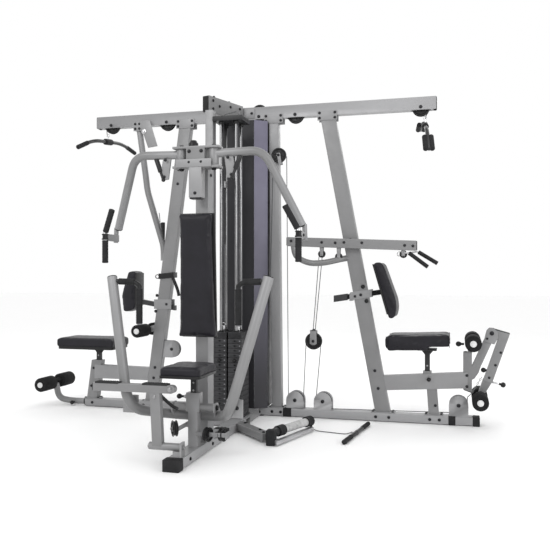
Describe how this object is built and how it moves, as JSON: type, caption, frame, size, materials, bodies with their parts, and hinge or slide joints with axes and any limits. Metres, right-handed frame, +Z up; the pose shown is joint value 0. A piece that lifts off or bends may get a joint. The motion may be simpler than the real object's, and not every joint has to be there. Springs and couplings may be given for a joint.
{
  "type": "multi station home gym",
  "caption": "Multi station home gym with press and fly arms, lat pulldowns, leg developer, low row, padded seats and a weight stack tower on a T-shaped frame.",
  "frame": {"origin": "on the floor under the crossing of the base rails, at the centre of the rear foot's underside", "axes": "+X along the right base rail towards the leg developer, -Y along the front base rail towards the press seat, +Z up"},
  "size_m": [3.264, 1.9251, 2.11],
  "materials": {
    "silver_paint": "silver grey powder coat, satin",
    "black_paint": "black powder coat, satin",
    "cover_paint": "dark grey sheet steel, satin",
    "black_rubber": "black foam and moulded rubber, matt",
    "chrome": "polished plating",
    "vinyl": "charcoal vinyl upholstery, soft sheen",
    "cast_iron": "black coated iron plates",
    "black_plastic": "black moulded nylon",
    "cable": "dark coated wire rope"
  },
  "bodies": {
    "frame": {"base_front": "silver_paint", "base_right": "silver_paint", "base_left": "silver_paint", "foot_front": "black_rubber", "foot_right": "black_rubber", "foot_rear": "black_rubber", "tower_post_left": "silver_paint", "tower_post_right": "silver_paint", "boom_right": "silver_paint", "boom_left": "silver_paint", "upright_right": "silver_paint", "upright_left": "silver_paint", "front_upright": "silver_paint", "fly_hub": "silver_paint", "mid_arm": "silver_paint", "curl_handle": "black_rubber", "seat_frame_right": "silver_paint", "seat_frame_left": "silver_paint", "low_row_frame": "silver_paint", "shroud": "cover_paint", "guide_rods": "chrome", "weight_stack_left": "cast_iron", "weight_stack_right": "cast_iron", "foot_roller_bar": "silver_paint", "cable_right": "cable", "low_cable": "cable", "row_bar": "black_paint", "back_pad_front": "vinyl"},
    "press_arm": {"press_arm": "silver_paint", "press_grip_right": "black_rubber", "press_grip_left": "black_rubber"},
    "foot_lever": {"foot_lever": "silver_paint"},
    "fly_arm_right": {"fly_arm_right": "silver_paint", "fly_grip_right": "black_rubber"},
    "fly_arm_left": {"fly_arm_left": "silver_paint", "fly_grip_left": "black_rubber"},
    "leg_lever": {"leg_lever": "silver_paint"},
    "leg_rollers_lower": {"leg_rollers_lower": "black_rubber"},
    "leg_rollers_upper": {"leg_rollers_upper": "black_rubber"},
    "thigh_rollers": {"thigh_rollers": "black_rubber"},
    "foot_rollers": {"foot_rollers": "black_rubber"},
    "low_row_bar": {"low_row_bar": "chrome"},
    "seat_front": {"seat_front": "vinyl", "seat_post_front": "black_paint"},
    "seat_right": {"seat_right": "vinyl"},
    "seat_left": {"seat_left": "vinyl"},
    "side_pad_right": {"back_pad_right": "vinyl", "pad_bar_right": "black_paint"},
    "side_pad_left": {"back_pad_left": "vinyl", "pad_bar_left": "black_paint"},
    "top_plate_left": {"top_plate_left": "cast_iron"},
    "top_plate_right": {"top_plate_right": "cast_iron"},
    "floating_pulley": {"floating_pulley": "black_plastic"},
    "pulley_boom_right": {"pulley_boom_right": "black_plastic"},
    "pulley_boom_left": {"pulley_boom_left": "black_plastic"},
    "pulley_tower": {"pulley_tower": "black_plastic"},
    "lat_bar_left": {"lat_bar_left": "black_paint"},
    "lat_bar_right": {"lat_bar_right": "black_paint"},
    "pop_pin_front": {"pop_pin_front": "black_plastic"},
    "pop_pin_right": {"pop_pin_right": "black_plastic"}
  },
  "joints": [
    {"name": "press_pivot", "type": "hinge", "parent": "frame", "child": "press_arm", "pos_m": [0, -1.17, 0.262], "axis": [1, 0, 0], "range_deg": [0, 35], "stiffness_Nm_per_rad": 150, "springref_deg": -28.65},
    {"name": "foot_lever_pivot", "type": "hinge", "parent": "frame", "child": "foot_lever", "pos_m": [0, -1.4, 0.103], "axis": [1, 0, 0], "range_deg": [0, 25]},
    {"name": "fly_pivot_right", "type": "hinge", "parent": "frame", "child": "fly_arm_right", "pos_m": [0.092, -1.122, 1.58], "axis": [0, 0, -1], "range_deg": [0, 85]},
    {"name": "fly_pivot_left", "type": "hinge", "parent": "frame", "child": "fly_arm_left", "pos_m": [-0.092, -1.122, 1.58], "axis": [0, 0, 1], "range_deg": [0, 85]},
    {"name": "leg_lever_pivot", "type": "hinge", "parent": "frame", "child": "leg_lever", "pos_m": [1.546, 0, 0.59], "axis": [0, -1, 0], "range_deg": [0, 80], "stiffness_Nm_per_rad": 20, "springref_deg": -22.92},
    {"name": "leg_rollers_lower_spin", "type": "hinge", "parent": "leg_lever", "child": "leg_rollers_lower", "pos_m": [1.474, 0, 0.176], "axis": [0, 1, 0], "continuous": true},
    {"name": "leg_rollers_upper_spin", "type": "hinge", "parent": "frame", "child": "leg_rollers_upper", "pos_m": [1.432, 0, 0.535], "axis": [0, 1, 0], "continuous": true},
    {"name": "thigh_rollers_spin", "type": "hinge", "parent": "frame", "child": "thigh_rollers", "pos_m": [-0.806, 0, 0.567], "axis": [0, 1, 0], "continuous": true},
    {"name": "foot_rollers_spin", "type": "hinge", "parent": "frame", "child": "foot_rollers", "pos_m": [-1.56, 0, 0.166], "axis": [0, 1, 0], "continuous": true},
    {"name": "low_row_bar_spin", "type": "hinge", "parent": "frame", "child": "low_row_bar", "pos_m": [0.346, -0.77, 0.066], "axis": [0.3426, 0.9395, 0], "continuous": true},
    {"name": "seat_front_slide", "type": "slide", "parent": "frame", "child": "seat_front", "axis": [0, 0, 1], "range_m": [0, 0.12]},
    {"name": "seat_right_slide", "type": "slide", "parent": "frame", "child": "seat_right", "axis": [0, 0, 1], "range_m": [0, 0.06]},
    {"name": "seat_left_slide", "type": "slide", "parent": "frame", "child": "seat_left", "axis": [0, 0, 1], "range_m": [0, 0.08]},
    {"name": "side_pad_right_slide", "type": "slide", "parent": "frame", "child": "side_pad_right", "axis": [0.9889, 0, 0.1483], "range_m": [-0.025, 0.015]},
    {"name": "side_pad_left_slide", "type": "slide", "parent": "frame", "child": "side_pad_left", "axis": [-0.987, 0, 0.1609], "range_m": [-0.02, 0.02]},
    {"name": "top_plate_left_slide", "type": "slide", "parent": "frame", "child": "top_plate_left", "axis": [0, 0, 1], "range_m": [0, 0.35]},
    {"name": "top_plate_right_slide", "type": "slide", "parent": "frame", "child": "top_plate_right", "axis": [0, 0, 1], "range_m": [0, 0.35]},
    {"name": "floating_pulley_spin", "type": "hinge", "parent": "frame", "child": "floating_pulley", "pos_m": [0.4, 0, 0.512], "axis": [0, 1, 0], "continuous": true},
    {"name": "boom_right_pulley_spin", "type": "hinge", "parent": "frame", "child": "pulley_boom_right", "pos_m": [1.108, 0, 2.04], "axis": [0, 1, 0], "continuous": true},
    {"name": "boom_left_pulley_spin", "type": "hinge", "parent": "frame", "child": "pulley_boom_left", "pos_m": [-1.089, 0, 2.04], "axis": [0, 1, 0], "continuous": true},
    {"name": "tower_pulley_spin", "type": "hinge", "parent": "frame", "child": "pulley_tower", "pos_m": [0.17, -0.046, 1.765], "axis": [0, 1, 0], "continuous": true},
    {"name": "lat_bar_left_pull", "type": "slide", "parent": "frame", "child": "lat_bar_left", "axis": [0, 0, -1], "range_m": [0, 0.6], "stiffness_N_per_m": 60, "springref_m": -0.6},
    {"name": "lat_bar_right_pull", "type": "slide", "parent": "frame", "child": "lat_bar_right", "axis": [0, 0, -1], "range_m": [0, 0.6], "stiffness_N_per_m": 60, "springref_m": -0.6},
    {"name": "pop_pin_front_pull", "type": "slide", "parent": "frame", "child": "pop_pin_front", "axis": [-1, 0, 0], "range_m": [0, 0.012], "stiffness_N_per_m": 300},
    {"name": "pop_pin_right_pull", "type": "slide", "parent": "frame", "child": "pop_pin_right", "axis": [0, -1, 0], "range_m": [0, 0.012], "stiffness_N_per_m": 300}
  ],
  "couplings": [
    {"joint": "foot_lever_pivot", "follows": "press_pivot", "ratio": 0.7},
    {"joint": "top_plate_left_slide", "follows": "press_pivot", "m_per_rad": 0.49},
    {"joint": "top_plate_right_slide", "follows": "leg_lever_pivot", "m_per_rad": 0.2}
  ]
}
